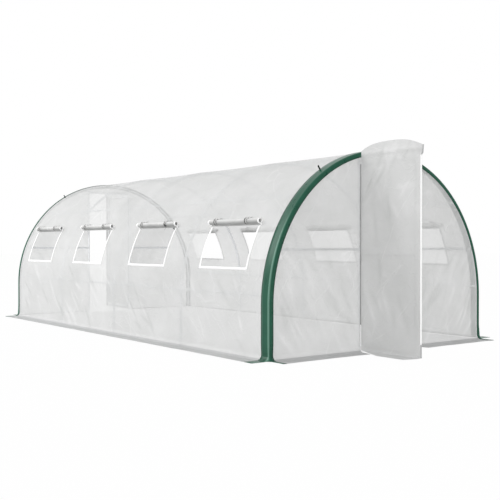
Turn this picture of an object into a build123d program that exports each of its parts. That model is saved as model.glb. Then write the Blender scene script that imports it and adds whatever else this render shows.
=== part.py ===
from build123d import *
import math
import os

# A walk-in polytunnel: five steel hoops and their purlins under a stretched cover,
# with rolled-up window flaps along both sides and a hinged door leaf in each end.
# Sizes are in millimetres. X runs across the tunnel, Y along it and Z up; the origin is on
# the ground under the middle of the ridge, and the front end faces -Y.

# Overall form
tunnel_width = 3000
tunnel_length = 6000
leg_height = 500
bay_count = 4

# Steel tubes
tube_diameter = 25
purlin_diameter = 19
upper_purlin_angle = 43
lower_purlin_angle = 3.5
rail_height = 1010

# Cross fittings that join hoop pieces and purlins
fitting_wall = 1.7
sleeve_length = 90
stub_length = 42
socket_clearance = 0.3
piece_gap = 1

# Cover sheet
sheet_thickness = 3
seat_gap = 0.3

# Doorway and door leaf
doorway_width = 700
doorway_height = 1860
leaf_tube_diameter = 16
leaf_frame_margin = 14
leaf_frame_bottom = 60
leaf_frame_drop = 20
leaf_corner_radius = 50
leaf_rail_height = 955
leaf_sheet_lap = 40
leaf_sheet_bottom = 12
leaf_sheet_cover = 132
leaf_sheet_arch = 70

# Lift-off hinges
hinge_heights = (300, 910, 1520)
pin_radius = 4
pin_fit = 0.3
eye_wall = 2.7
eye_height = 30
lug_thickness = 5
lug_radius = 6
hinge_stand_off = 16
hinge_offset = 2
stile_offset = 24

# Windows, measured along the curve of the wall
window_width = 780
window_height = 445
window_sill = 335
window_shift = 30
binding_width = 24
binding_thickness = 2
roll_diameter = 58
roll_overhang = 60
tie_width = 24
tie_thickness = 2
tie_inset = 150

# Ground skirt and green end trim
skirt_reach = 200
skirt_bend = 50
skirt_doorway_gap = 85
skirt_end_slant = 65
trim_thickness = 3
trim_side_width = 115
trim_front_width = 45
trim_foot_setback = 12

# Loops for guy ropes on the end trim
loop_angle = 58
loop_height = 44
loop_width = 10
loop_depth = 12
loop_webbing = 2

# Positions worked out from the sizes above
cover_radius = tunnel_width / 2
cover_inner = cover_radius - sheet_thickness
tube_radius = tube_diameter / 2
sleeve_radius = tube_radius + socket_clearance + fitting_wall
stub_radius = purlin_diameter / 2 + socket_clearance + fitting_wall
hoop_radius = cover_inner - seat_gap - sleeve_radius
end_inset = sheet_thickness + seat_gap + sleeve_radius
hoop_span = tunnel_length - 2 * end_inset
hoop_pitch = hoop_span / bay_count
joint_angles = (
    lower_purlin_angle,
    upper_purlin_angle,
    90,
    180 - upper_purlin_angle,
    180 - lower_purlin_angle,
)
doorway_edge = doorway_width / 2
post_x = doorway_edge + tube_radius
end_y = -tunnel_length / 2
hinge_x = -doorway_edge - hinge_offset
hinge_y = end_y - hinge_stand_off
leaf_tube_radius = leaf_tube_diameter / 2
leaf_frame_width = doorway_width - 2 * leaf_frame_margin
leaf_frame_top = doorway_height - leaf_frame_drop
leaf_sheet_width = doorway_width + 2 * leaf_sheet_lap
leaf_sheet_shoulder = doorway_height + leaf_sheet_cover
leaf_sheet_crown = leaf_sheet_shoulder + leaf_sheet_arch
eye_radius = pin_radius + pin_fit + eye_wall
sheet_bottom = skirt_bend + sheet_thickness
sill_angle = math.degrees(window_sill / cover_radius)
head_angle = math.degrees((window_sill + window_height) / cover_radius)
window_pitch = tunnel_length / bay_count
roll_length = window_width + 2 * roll_overhang
trim_foot_reach = skirt_reach - trim_foot_setback
window_centres = [(bay + 0.5 - bay_count / 2) * window_pitch + window_shift for bay in range(bay_count)]

# The ridge line of the vault's circle, turning +X up towards +Z
vault_axis = Axis((0, 0, leg_height), (0, -1, 0))


def arch_tube(radius, tube, start, end, y):
    """A round bar bent along the vault, from one angle to another above the right-hand side."""
    section = Plane.XY.offset(leg_height) * Pos(radius, y) * Circle(tube)
    return revolve(section, axis=vault_axis, revolution_arc=end - start).rotate(vault_axis, start)


def arch_panel(inner, outer, start, end, y_from, y_to):
    """A curved plate of the vault between two radii and two angles."""
    section = Plane.XY.offset(leg_height) * Pos((inner + outer) / 2, (y_from + y_to) / 2)
    plate = section * Rectangle(outer - inner, y_to - y_from)
    return revolve(plate, axis=vault_axis, revolution_arc=end - start).rotate(vault_axis, start)


def along_y(radius, y_from, y_to):
    """A round bar that runs along the tunnel at X = Z = 0."""
    bar = Rot(-90, 0, 0) * Cylinder(radius, y_to - y_from, align=(Align.CENTER, Align.CENTER, Align.MIN))
    return Pos(0, y_from, 0) * bar


def upright(radius, bottom, top):
    """A round bar that stands from one height to another at X = Y = 0."""
    bar = Cylinder(radius, top - bottom, align=(Align.CENTER, Align.CENTER, Align.MIN))
    return Pos(0, 0, bottom) * bar


def on_vault(radius, angle):
    """The place of a point of the vault's cross-section."""
    turn = math.radians(angle)
    return Pos(radius * math.cos(turn), 0, leg_height + radius * math.sin(turn))


def block(x_from, x_to, y_from, y_to, z_from, z_to):
    """A plain block between two corners."""
    size = Box(x_to - x_from, y_to - y_from, z_to - z_from, align=(Align.MIN, Align.MIN, Align.MIN))
    return Pos(x_from, y_from, z_from) * size


def other_side(shape):
    """The mirror image on the other side of the ridge."""
    return mirror(shape, about=Plane.YZ)


def other_end(shape):
    """The same piece at the rear end, which is the front turned half round."""
    return Rot(0, 0, 180) * shape


def hoop_y(index):
    return index * hoop_pitch - hoop_span / 2


def hoop(index):
    """Two legs and four bent pieces, which meet inside the cross fittings."""
    y = hoop_y(index)
    half_gap = math.degrees(piece_gap / 2 / hoop_radius)
    leg = Pos(hoop_radius, y, 0) * upright(tube_radius, 0, leg_height)
    leg += arch_tube(hoop_radius, tube_radius, 0, joint_angles[0] - half_gap, y)
    pieces = [leg, other_side(leg)]
    for start, end in zip(joint_angles, joint_angles[1:]):
        pieces.append(arch_tube(hoop_radius, tube_radius, start + half_gap, end - half_gap, y))
    return pieces


def purlin(angle):
    """One tube in each bay, from socket to socket."""
    start = tube_radius + piece_gap + socket_clearance
    tubes = []
    for bay in range(bay_count):
        tube = along_y(purlin_diameter / 2, hoop_y(bay) + start, hoop_y(bay + 1) - start)
        tubes.append(on_vault(hoop_radius, angle) * tube)
    return tubes


def fitting(index, angle):
    """A bent sleeve over the joint of two hoop pieces, with a socket for each purlin."""
    y = hoop_y(index)
    half_sleeve = math.degrees(sleeve_length / 2 / hoop_radius)
    reach_back = 0 if index == 0 else stub_length
    reach_on = 0 if index == bay_count else stub_length
    place = on_vault(hoop_radius, angle)
    body = arch_tube(hoop_radius, sleeve_radius, angle - half_sleeve, angle + half_sleeve, y)
    body += place * along_y(stub_radius, y - reach_back, y + reach_on)
    body -= place * along_y(purlin_diameter / 2 + socket_clearance, y - reach_back, y + reach_on)
    bore = tube_radius + socket_clearance
    return body - arch_tube(hoop_radius, bore, angle - half_sleeve, angle + half_sleeve, y)


def fittings():
    return [fitting(index, angle) for index in range(bay_count + 1) for angle in joint_angles]


def hoop_cutter(index):
    """The room that a tube end coped to a hoop leaves for it."""
    return arch_tube(hoop_radius, tube_radius + seat_gap, 0, 180, hoop_y(index))


def hinge_pin(height):
    """A lug welded to the post, out through the doorway's edge, with its upright pin."""
    top = height - eye_height / 2 - seat_gap
    neck_left = -doorway_edge + seat_gap
    neck_right = neck_left + 2 * lug_radius
    weld_y = hoop_y(0)
    lug = Pos(hinge_x, hinge_y, 0) * upright(lug_radius, top - lug_thickness, top)
    lug += block(hinge_x, neck_right, hinge_y - lug_radius, hinge_y + lug_radius, top - lug_thickness, top)
    lug += block(neck_left, neck_right, hinge_y, weld_y + lug_radius, top - lug_thickness, top)
    lug += block(-post_x, neck_right, weld_y - lug_radius, weld_y + lug_radius, top - lug_thickness, top)
    pin_top = height + eye_height / 2 + pin_radius
    return lug + Pos(hinge_x, hinge_y, 0) * upright(pin_radius, top - lug_thickness, pin_top)


def door_posts():
    """The two posts beside the doorway; the left one carries the hinge pins."""
    rise = math.sqrt(hoop_radius**2 - post_x**2)
    post = Pos(post_x, hoop_y(0), 0) * upright(tube_radius, 0, leg_height + rise)
    post -= hoop_cutter(0)
    hinge_post = other_side(post)
    for height in hinge_heights:
        hinge_post += hinge_pin(height)
    return [hinge_post, post]


def end_rails():
    """The header over the doorway and the two rails that brace the posts to the hoop."""
    y = hoop_y(0)
    post_room = Pos(post_x, y, 0) * upright(tube_radius + seat_gap, 0, tunnel_width)
    header = Pos(0, y, doorway_height + tube_radius) * Rot(0, 90, 0) * Cylinder(tube_radius, 2 * post_x)
    header -= post_room
    header -= other_side(post_room)
    foot = math.sqrt(hoop_radius**2 - (rail_height - leg_height) ** 2)
    rail = Rot(0, 90, 0) * Cylinder(tube_radius, foot - post_x, align=(Align.CENTER, Align.CENTER, Align.MIN))
    rail = Pos(post_x, y, rail_height) * rail
    rail -= post_room
    rail -= hoop_cutter(0)
    return [header, rail, other_side(rail)]


def leaf_frame():
    """A closed frame of bent tube with a middle rail and three hinge eyes, its pin line at X = Y = 0."""
    height = leaf_frame_top - leaf_frame_bottom
    outline = Plane.XZ * Pos(stile_offset + leaf_frame_width / 2, leaf_frame_bottom + height / 2)
    path = (outline * RectangleRounded(leaf_frame_width, height, leaf_corner_radius)).face().outer_wire()
    frame = sweep(Plane(origin=path @ 0, z_dir=path % 0) * Circle(leaf_tube_radius), path=path)
    rail = Rot(0, 90, 0) * Cylinder(leaf_tube_radius, leaf_frame_width)
    frame += Pos(stile_offset + leaf_frame_width / 2, 0, leaf_rail_height) * rail
    for eye_place in hinge_heights:
        low = eye_place - eye_height / 2
        high = eye_place + eye_height / 2
        eye = upright(eye_radius, low, high)
        eye += block(0, stile_offset, -lug_thickness / 2, lug_thickness / 2, low, high)
        frame += eye - upright(pin_radius + pin_fit, low, high)
    return frame


def leaf_sheet():
    """The leaf's cover, with an arched top that overlaps the trim when the leaf is shut."""
    width = leaf_sheet_width
    sides = Polyline(
        (0, leaf_sheet_shoulder), (0, leaf_sheet_bottom), (width, leaf_sheet_bottom), (width, leaf_sheet_shoulder)
    )
    top = ThreePointArc(sides @ 1, (width / 2, leaf_sheet_crown), sides @ 0)
    outline = Plane.XZ * make_face(sides + top)
    return Pos(0, -leaf_tube_radius - seat_gap, 0) * extrude(outline, amount=sheet_thickness)


def open_leaf(shape):
    """A piece of the shut leaf, turned a quarter outwards about the hinge pins."""
    return Pos(hinge_x, hinge_y, 0) * Rot(0, 0, -90) * shape


def lower_wall():
    """The right side of the cover from the skirt to the window sills, straight and then curved."""
    wall = block(cover_inner, cover_radius, end_y, -end_y, sheet_bottom, leg_height)
    return wall + arch_panel(cover_inner, cover_radius, 0, sill_angle, end_y, -end_y)


def window_band():
    """The right side's strips of cover between the windows."""
    edges = [end_y]
    for centre in window_centres:
        edges += [centre - window_width / 2, centre + window_width / 2]
    edges.append(-end_y)
    strips = zip(edges[::2], edges[1::2])
    return [arch_panel(cover_inner, cover_radius, sill_angle, head_angle, low, high) for low, high in strips]


def roof_panel(part):
    """The lower or upper half of the right side's roof, above the windows."""
    middle = (head_angle + 90) / 2
    start, end = ((head_angle, middle), (middle, 90))[part]
    return arch_panel(cover_inner, cover_radius, start, end, end_y, -end_y)


def end_outline():
    """The whole end wall: straight sides with the arch on top."""
    radius = cover_inner - seat_gap
    whole = Pos(0, leg_height) * Circle(radius)
    whole += Pos(0, leg_height / 2) * Rectangle(2 * radius, leg_height)
    return whole


def end_wall(x_from, x_to, bottom):
    """The part of the end wall between two lines, above a height."""
    top = leg_height + cover_radius
    window = Pos((x_from + x_to) / 2, (bottom + top) / 2) * Rectangle(x_to - x_from, top - bottom)
    outline = Plane.XZ * (end_outline() & window)
    return Pos(0, end_y + sheet_thickness, 0) * extrude(outline, amount=sheet_thickness)


def flared_strip(length, thickness, reach, lift):
    """A strip that comes down the wall and bends out over the ground, along +Y from Y = 0.

    The wall's outer face is X = 0 and the ground lies towards +X; lift is the height of the
    strip's underside where it lies flat, and its stand-off from the wall.
    """
    turn = sheet_bottom
    outer = skirt_bend + sheet_thickness - lift
    bend = CenterArc((skirt_bend, turn), outer, 180, 90)
    inner = CenterArc((skirt_bend, turn), outer - thickness, 270, -90)
    flat = Polyline(bend @ 1, (reach, lift), (reach, lift + thickness), inner @ 0)
    outline = bend + flat + inner + Line(inner @ 1, bend @ 0)
    strip = extrude(Plane.XZ * make_face(outline), amount=-length)
    return strip


def side_skirt():
    """The right-hand skirt, along the whole side."""
    return Pos(cover_radius, end_y, 0) * flared_strip(tunnel_length, sheet_thickness, skirt_reach, 0)


def front_skirt():
    """The front skirt on each side of the doorway, slanted where it ends beside the door."""
    start = doorway_edge + skirt_doorway_gap
    length = cover_inner - seat_gap - start
    strip = Rot(0, 0, -90) * flared_strip(length, sheet_thickness, skirt_reach, 0)
    strip = Pos(start, end_y, 0) * strip
    far = end_y - skirt_reach
    corner = Polyline((start, end_y), (start + skirt_end_slant, far), (start, far), (start, end_y))
    strip -= extrude(make_face(corner), amount=sheet_bottom)
    return [other_side(strip), strip]


def trim_half():
    """The right half of the end trim: an angle strip over the arch with a flared foot each way."""
    inner = cover_radius + seat_gap
    outer = inner + trim_thickness
    face = end_y - seat_gap - trim_thickness
    back = end_y + trim_side_width
    low = cover_radius - trim_front_width
    half = arch_panel(inner, outer, 0, 90, face, back)
    half += arch_panel(low, outer, 0, 90, face, face + trim_thickness)
    half += block(inner, outer, face, back, sheet_bottom, leg_height)
    half += block(low, outer, face, face + trim_thickness, sheet_bottom, leg_height)
    lift = sheet_thickness + seat_gap
    side_foot = flared_strip(back - face, trim_thickness, trim_foot_reach, lift)
    half += Pos(cover_radius, face, 0) * side_foot
    front_foot = Rot(0, 0, -90) * flared_strip(outer - low, trim_thickness, trim_foot_reach, lift)
    half += Pos(low, end_y, 0) * front_foot
    return half


def end_trim():
    half = trim_half()
    return half + other_side(half)


def window_binding(centre):
    """The stitched binding round the sides and foot of one window on the right-hand wall."""
    inner = cover_radius + seat_gap
    outer = inner + binding_thickness
    low = sill_angle - math.degrees(binding_width / cover_radius)
    near = centre - window_width / 2
    far = centre + window_width / 2
    binding = arch_panel(inner, outer, low, sill_angle, near - binding_width, far + binding_width)
    binding += arch_panel(inner, outer, sill_angle, head_angle, near - binding_width, near)
    binding += arch_panel(inner, outer, sill_angle, head_angle, far, far + binding_width)
    return binding


def roll_place():
    """The centre line of a rolled-up window flap, which rests on its ties above the window."""
    stand = cover_radius + 2 * seat_gap + tie_thickness + roll_diameter / 2
    angle = head_angle + math.degrees(roll_diameter / 2 / cover_radius)
    return on_vault(stand, angle)


def window_roll(centre):
    """One rolled-up window flap on the right-hand side."""
    return roll_place() * along_y(roll_diameter / 2, centre - roll_length / 2, centre + roll_length / 2)


def roll_tie(centre):
    """One of the bands that hold a rolled-up flap."""
    inner = roll_diameter / 2 + seat_gap
    low = centre - tie_width / 2
    high = centre + tie_width / 2
    band = along_y(inner + tie_thickness, low, high) - along_y(inner, low, high)
    return roll_place() * band


def roll_ties():
    """Two ties for each window on the right-hand side."""
    reach = roll_length / 2 - tie_inset
    return [roll_tie(centre + side * reach) for centre in window_centres for side in (-1, 1)]


def guy_loop():
    """A folded webbing loop that stands at the back edge of the front trim, on the right-hand side."""
    hollow = loop_width / 2 - loop_webbing
    outside = Pos(0, loop_height / 2) * Rectangle(loop_width, loop_height)
    outside += Pos(0, loop_height) * Circle(loop_width / 2)
    inside = Pos(0, loop_height / 2) * Rectangle(2 * hollow, loop_height)
    inside += Pos(0, loop_height) * Circle(hollow)
    loop = extrude(Plane.YZ * (outside - inside), amount=loop_depth / 2, both=True)
    seat = cover_radius + 2 * seat_gap + trim_thickness
    back = end_y + trim_side_width - loop_width
    return Pos(0, back, leg_height) * Rot(0, 90 - loop_angle, 0) * Pos(0, 0, seat) * loop


def both_ends(shape):
    return [shape, other_end(shape)]


def both_sides(shapes):
    return [other_side(shape) for shape in shapes]


nodes = {}
for index, name in enumerate(("front", "second", "middle", "fourth", "rear")):
    nodes["hoop_" + name] = hoop(index)
nodes["ridge_purlin"] = purlin(90)
nodes["purlins_right"] = purlin(lower_purlin_angle) + purlin(upper_purlin_angle)
nodes["purlins_left"] = both_sides(nodes["purlins_right"])
nodes["purlin_fittings"] = fittings()
nodes["front_door_posts"] = door_posts()
nodes["front_end_rails"] = end_rails()
nodes["lower_wall_right"] = [lower_wall()]
nodes["lower_wall_left"] = both_sides(nodes["lower_wall_right"])
nodes["window_band_right"] = window_band()
nodes["window_band_left"] = both_sides(nodes["window_band_right"])
for part, name in enumerate(("lower", "upper")):
    nodes["roof_right_" + name] = [roof_panel(part)]
    nodes["roof_left_" + name] = both_sides(nodes["roof_right_" + name])
nodes["front_wall_right"] = [end_wall(doorway_edge, cover_radius, sheet_bottom)]
nodes["front_wall_left"] = both_sides(nodes["front_wall_right"])
nodes["front_wall_top"] = [end_wall(-doorway_edge, doorway_edge, doorway_height)]
nodes["skirt_right"] = [side_skirt()]
nodes["skirt_left"] = both_sides(nodes["skirt_right"])
nodes["front_skirts"] = front_skirt()
nodes["front_trim"] = [end_trim()]
nodes["window_bindings_right"] = [window_binding(centre) for centre in window_centres]
nodes["window_bindings_left"] = both_sides(nodes["window_bindings_right"])
nodes["window_rolls_right"] = [window_roll(centre) for centre in window_centres]
nodes["window_rolls_left"] = both_sides(nodes["window_rolls_right"])
nodes["roll_ties_right"] = roll_ties()
nodes["roll_ties_left"] = both_sides(nodes["roll_ties_right"])
nodes["guy_loops"] = both_ends(guy_loop()) + both_ends(other_side(guy_loop()))
nodes["front_door_frame"] = [open_leaf(leaf_frame())]
nodes["front_door_sheet"] = [open_leaf(leaf_sheet())]

for name in list(nodes):
    if name.startswith("front_"):
        nodes[name.replace("front_", "rear_")] = [other_end(shape) for shape in nodes[name]]

os.makedirs("parts", exist_ok=True)
for name, shapes in nodes.items():
    solids = [solid for shape in shapes for solid in shape.solids()]
    part = solids[0] if len(solids) == 1 else Compound(solids)
    export_step(part, "parts/" + name + ".step")
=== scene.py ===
# %% Load the frame
import math
import random

import bmesh
import bpy
from mathutils import Matrix, Vector, noise


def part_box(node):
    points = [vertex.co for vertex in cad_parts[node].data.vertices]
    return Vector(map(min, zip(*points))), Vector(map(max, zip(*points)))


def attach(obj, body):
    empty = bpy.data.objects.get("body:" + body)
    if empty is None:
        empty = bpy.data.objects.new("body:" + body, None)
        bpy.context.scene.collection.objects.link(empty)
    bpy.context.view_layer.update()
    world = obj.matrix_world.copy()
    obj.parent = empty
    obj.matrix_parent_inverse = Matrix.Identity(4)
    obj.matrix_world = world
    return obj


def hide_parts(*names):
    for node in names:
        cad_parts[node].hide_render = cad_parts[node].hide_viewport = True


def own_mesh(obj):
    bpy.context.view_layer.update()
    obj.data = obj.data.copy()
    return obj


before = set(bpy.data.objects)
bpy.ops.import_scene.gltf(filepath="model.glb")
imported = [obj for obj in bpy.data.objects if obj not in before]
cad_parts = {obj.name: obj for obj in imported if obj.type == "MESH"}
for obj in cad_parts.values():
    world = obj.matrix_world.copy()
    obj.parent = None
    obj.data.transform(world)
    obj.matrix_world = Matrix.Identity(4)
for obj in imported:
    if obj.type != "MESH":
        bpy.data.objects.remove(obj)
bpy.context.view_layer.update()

print("the steel and the plain solids load as", len(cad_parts), "nodes")

# %% [markdown]
# A walk-in polytunnel is a tent on a steel frame. The steel comes with the frame file, and every
# soft piece on it is made here: the cover, the two end walls, the door leaves, the green trim at
# both arches, the window bindings and the rolled-up window flaps with their ties.
# Sizes that the frame knows are read from it, so the cloth always lies where the solids are.

# %% Sizes read from the frame
wall_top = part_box("lower_wall_right")[1]
cover_radius = wall_top.x
half_length = wall_top.y
leg_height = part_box("roof_right_upper")[1].z - cover_radius
skirt_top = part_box("skirt_right")[1].z
skirt_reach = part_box("skirt_right")[1].x - cover_radius
wall_thickness = 0.003
bend_radius = skirt_top - wall_thickness
hoop_places = [sum(corner.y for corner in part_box("hoop_" + name)) / 2
               for name in ("front", "second", "middle", "fourth", "rear")]
print("radius", round(cover_radius, 3), "length", round(2 * half_length, 3),
      "legs", round(leg_height, 3))

# %% [markdown]
# The cover is one broad cloth. On the real tunnel it is cut flat, thrown over the hoops and
# pulled tight, so the script does the same: a point of the flat cut has a distance from the
# ridge and a place along the tunnel, and one function says where that point ends up. The line
# runs down the arch, down the leg, round a small bend and out over the ground as the skirt.

# %% The line that the cover follows
arch_run = cover_radius * math.pi / 2
leg_run = leg_height - skirt_top
bend_run = bend_radius * math.pi / 2
skirt_start = arch_run + leg_run
skirt_end = skirt_start + bend_run + skirt_reach - bend_radius


def below_bend(run):
    """How far out and how high a skirt is past the start of its bend, and its outward way."""
    if run < bend_run:
        turn = run / bend_radius
        out = bend_radius * (1 - math.cos(turn))
        return out, skirt_top - bend_radius * math.sin(turn), math.cos(turn), math.sin(turn)
    return bend_radius + run - bend_run, wall_thickness, 0.0, 1.0


def vault_line(reach):
    """Place (x, z) and outward way (x, z) of the cover; the reach is measured from the ridge.

    It is positive on the right-hand side and negative on the left."""
    side = 1 if reach >= 0 else -1
    run = abs(reach)
    if run < arch_run:
        turn = run / cover_radius
        x, z = cover_radius * math.sin(turn), leg_height + cover_radius * math.cos(turn)
        out_x, out_z = math.sin(turn), math.cos(turn)
    elif run < skirt_start:
        x, z, out_x, out_z = cover_radius, leg_height - (run - arch_run), 1.0, 0.0
    else:
        out, z, out_x, out_z = below_bend(run - skirt_start)
        x = cover_radius + out
    return side * x, z, side * out_x, out_z


print("the cover's cut is", round(2 * skirt_end, 2), "m wide")

# %% [markdown]
# A sheet that is only bent would look like painted metal. Film between two hoops sinks a few
# millimetres, and it keeps the folds that it was packed with: straight, slanted and about as
# long as a forearm. Both are small moves along the sheet's outward way, worked out point by
# point. The folds are drawn from a seeded chance, so that each run gives the same ones.

# %% How the film sinks between hoops and where its folds lie
low_purlin = 3.5                # degrees above the top of the straight legs
high_purlin = 43
purlin_runs = (0.0, *(math.radians(90 - angle) * cover_radius
                      for angle in (high_purlin, low_purlin)))
sag_on_purlin = 0.0035
sag_free = 0.0095
purlin_room = 0.35
fold_scatter = 9                # degrees about the way that the folds lean
fold_reaches = (0.12, 0.34)     # half the length, least and most
fold_widths = (0.014, 0.030)


def smooth(value):
    """Nought below 0, one above 1, and an even curve between."""
    held = min(1.0, max(0.0, value))
    return held * held * (3 - 2 * held)


def sinking(reach, y):
    """How far the cover sinks inward between two hoops, less where a purlin carries it."""
    if not hoop_places[0] < y < hoop_places[-1]:
        return 0.0
    pitch = hoop_places[1] - hoop_places[0]
    part = (y - hoop_places[0]) / pitch % 1
    run = abs(reach)
    free = smooth(min(abs(run - purlin) for purlin in purlin_runs) / purlin_room)
    depth = sag_on_purlin + (sag_free - sag_on_purlin) * free
    return 4 * part * (1 - part) * depth * smooth((skirt_start - run) / 0.2)


def folds_in(seed, count, x_range, y_range, lean, height):
    """Packing folds: middle, direction, half length, width and height of each."""
    chance = random.Random(seed)
    folds = []
    for _ in range(count):
        angle = math.radians(chance.gauss(lean, fold_scatter))
        folds.append((
            chance.uniform(*x_range), chance.uniform(*y_range), math.cos(angle), math.sin(angle),
            chance.uniform(*fold_reaches), chance.uniform(*fold_widths),
            chance.uniform(-height, height),
        ))
    return folds


def fold_height(folds, x, y):
    """How far the folds lift one point of the flat cut."""
    total = 0.0
    for mid_x, mid_y, way_x, way_y, reach, width, height in folds:
        off_x, off_y = x - mid_x, y - mid_y
        run = (off_x * way_x + off_y * way_y) / reach
        if abs(run) < 1:
            away = (off_y * way_x - off_x * way_y) / width
            if abs(away) < 3:
                total += height * (1 - run * run) ** 2 * math.exp(-away * away)
    return total


# %% [markdown]
# Every sheet starts on the cutting table: a grid of small squares, scored along the lines where
# it is cut or bent, with the openings taken out. The flat place of each corner is kept as a UV
# map in metres. The weave is drawn on that map later, so it follows the cloth round every bend.
# What is made for the front end is turned half round for the rear end.

# %% Tools for cutting and hanging a sheet
sides = {"right": 1, "left": -1}


def flat_cut(x_from, x_to, y_from, y_to, cell, rows=None):
    """A flat grid between two corners, with cells of about one size, or with so many rows."""
    mesh = bmesh.new()
    across = max(1, round((x_to - x_from) / cell))
    along = rows or max(1, round((y_to - y_from) / cell))
    bmesh.ops.create_grid(mesh, x_segments=across, y_segments=along, size=0.5)
    bmesh.ops.scale(mesh, vec=(x_to - x_from, y_to - y_from, 1), verts=mesh.verts)
    bmesh.ops.translate(mesh, vec=((x_from + x_to) / 2, (y_from + y_to) / 2, 0), verts=mesh.verts)
    return mesh


def score(mesh, x=None, y=None, point=None, way=None, only=None):
    """Divides the faces along a line of the flat cut, with nothing removed."""
    if x is not None:
        point, normal = (x, 0, 0), (1, 0, 0)
    elif y is not None:
        point, normal = (0, y, 0), (0, 1, 0)
    else:
        point, normal = (*point, 0), (way[1], -way[0], 0)
    faces = [face for face in mesh.faces if only is None or only(face.calc_center_median())]
    edges = {edge for face in faces for edge in face.edges}
    verts = {vert for face in faces for vert in face.verts}
    bmesh.ops.bisect_plane(mesh, geom=[*verts, *edges, *faces], dist=1e-5,
                           plane_co=point, plane_no=normal)


def cut_out(mesh, inside):
    """Takes out the faces whose middle lies inside."""
    gone = [face for face in mesh.faces if inside(face.calc_center_median())]
    bmesh.ops.delete(mesh, geom=gone, context="FACES")


def mark_folds(mesh, folds, height):
    """Keeps on each point how deep in a fold it lies, from -1 in a valley to 1 on a ridge."""
    layer = mesh.verts.layers.float.new("fold")
    for vert in mesh.verts:
        depth = fold_height(folds(vert), abs(vert.co.x), vert.co.y) / height
        vert[layer] = max(-1.0, min(1.0, depth))


def keep_cut(mesh, scale=(1, 1)):
    """Keeps the flat place of each corner, in metres, for the weave."""
    layer = mesh.loops.layers.uv.new("cut")
    for face in mesh.faces:
        for corner in face.loops:
            x, y, _ = corner.vert.co
            corner[layer].uv = (x * scale[0], y * scale[1])


def hang(mesh, place):
    """Moves each point of the flat cut to its place on the tunnel."""
    mesh.verts.index_update()
    places = [place(vert) for vert in mesh.verts]
    for vert, co in zip(mesh.verts, places):
        vert.co = co


def to_piece(mesh, name, body, slot, *materials):
    """Turns a mesh into a piece that rides on a body and wears the given materials; slot is not
    used.
    """
    data = bpy.data.meshes.new(name)
    mesh.to_mesh(data)
    mesh.free()
    for material in materials:
        data.materials.append(material)
    data.shade_smooth()
    made = bpy.data.objects.new(name, data)
    bpy.context.collection.objects.link(made)
    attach(made, body)
    print(name, len(data.polygons), "faces")
    return made


def half_turned(mesh):
    """A copy turned half round, for the rear end."""
    copy = mesh.copy()
    bmesh.ops.rotate(copy, cent=(0, 0, 0), matrix=Matrix.Rotation(math.pi, 3, "Z"),
                     verts=copy.verts)
    return copy


def both_ends(mesh):
    """The half-turned copy for the rear end, and the mesh itself for the front."""
    return {"rear": half_turned(mesh), "front": mesh}


def thicken(made, thickness):
    """Gives a sheet its thickness, inward from the face that shows."""
    solid = made.modifiers.new("thickness", "SOLIDIFY")
    solid.thickness = thickness
    solid.offset = -1
    return made


# %% [markdown]
# Materials come before the pieces that wear them. Colours are given as the eye reads them on a
# screen, in sRGB hex, and one function turns them into the linear values that light works with.
# Another adds a node with its settings and links. All patterns are laid out on the flat cut, in
# metres, so the size of each is a real size. Only the steel has its pattern on the piece itself.

# %% Tools for materials
def tint(code):
    """Linear colour of an sRGB hex value such as 48644B."""
    parts = [int(code[i:i + 2], 16) / 255 for i in (0, 2, 4)]
    return (*[c / 12.92 if c <= 0.04045 else ((c + 0.055) / 1.055) ** 2.4 for c in parts], 1.0)


def add(tree, kind, sockets=(), **settings):
    """Adds a node; sockets maps an input to a value, an output or a node's first output."""
    node = tree.nodes.new(kind)
    for name, value in settings.items():
        setattr(node, name, value)
    for name, value in dict(sockets).items():
        if isinstance(value, bpy.types.Node):
            value = value.outputs[0]
        if isinstance(value, bpy.types.NodeSocket):
            tree.links.new(value, node.inputs[name])
        else:
            node.inputs[name].default_value = value
    return node


def new_material(name):
    """An empty material and its tree, with the output node."""
    material = bpy.data.materials.new(name)
    material.use_nodes = True
    material.node_tree.nodes.clear()
    output = material.node_tree.nodes.new("ShaderNodeOutputMaterial")
    return material, material.node_tree, output


def wave_scale(spacing):
    """The scale at which a wave texture repeats every so many metres.

    At a scale of 1 it repeats every 2 pi / 20 units."""
    return 2 * math.pi / 20 / spacing


# %% [markdown]
# The cover is woven polyethylene: flat tapes of clear film woven like cloth, then coated. It is
# milky and lets most of the light through. Three things reach the eye: light that it scatters
# back, light that comes through it softened, and a veiled view of what stands behind it. So the
# shader mixes a soft plastic, a translucent sheet and a clear one. The tapes are 2.5 mm apart,
# which is too fine for the picture, so the weave is drawn as 12 mm squares, as its stronger
# threads are. Cloudy patches, soft crumple lines and sharp creases on a slant break the surface.
# A fold is painted paler on its ridge and darker in its valley, from the fold mark of each
# point: painted light and painted shade. Sharp creases are painted paler as well, partly the
# film whitening where it is creased and partly painted light.

# %% Woven polyethylene cover
thread_spacing = 0.012
cloud_size = 0.45
crumple_size = 0.22
crumple_width = 0.09        # as a share of the crumple's size
crease_size = 0.24
crease_stretch = 3.2
crease_turn = math.radians(52)
crease_width = 0.009
crease_drift = 0.12         # how far the clouds bend a crease, in metres
crease_patches = 3.3        # patches with creases to the metre
crease_relief = 1.2         # against the height of a crumple line
crease_whitening_and_light = 0.25
painted_shade_strength = 0.7
thread_relief = 0.08
thread_clearness = -0.06    # less light goes through where threads cross
film_relief = 0.004         # height of a crumple line


def cut_map(tree):
    """The flat place on the cloth, in metres."""
    return add(tree, "ShaderNodeUVMap", uv_map="cut").outputs["UV"]


def weave(tree, place, spacing):
    """Crossing threads, from 0 between them to 1 where they cross."""
    waves = []
    for direction in ("X", "Y"):
        sockets = {"Vector": place, "Scale": wave_scale(spacing), "Distortion": 0.0}
        wave = add(tree, "ShaderNodeTexWave", sockets, wave_type="BANDS", bands_direction=direction)
        waves.append(wave.outputs["Fac"])
    return add(tree, "ShaderNodeMath", {0: waves[0], 1: waves[1]}, operation="MAXIMUM").outputs[0]


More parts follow.
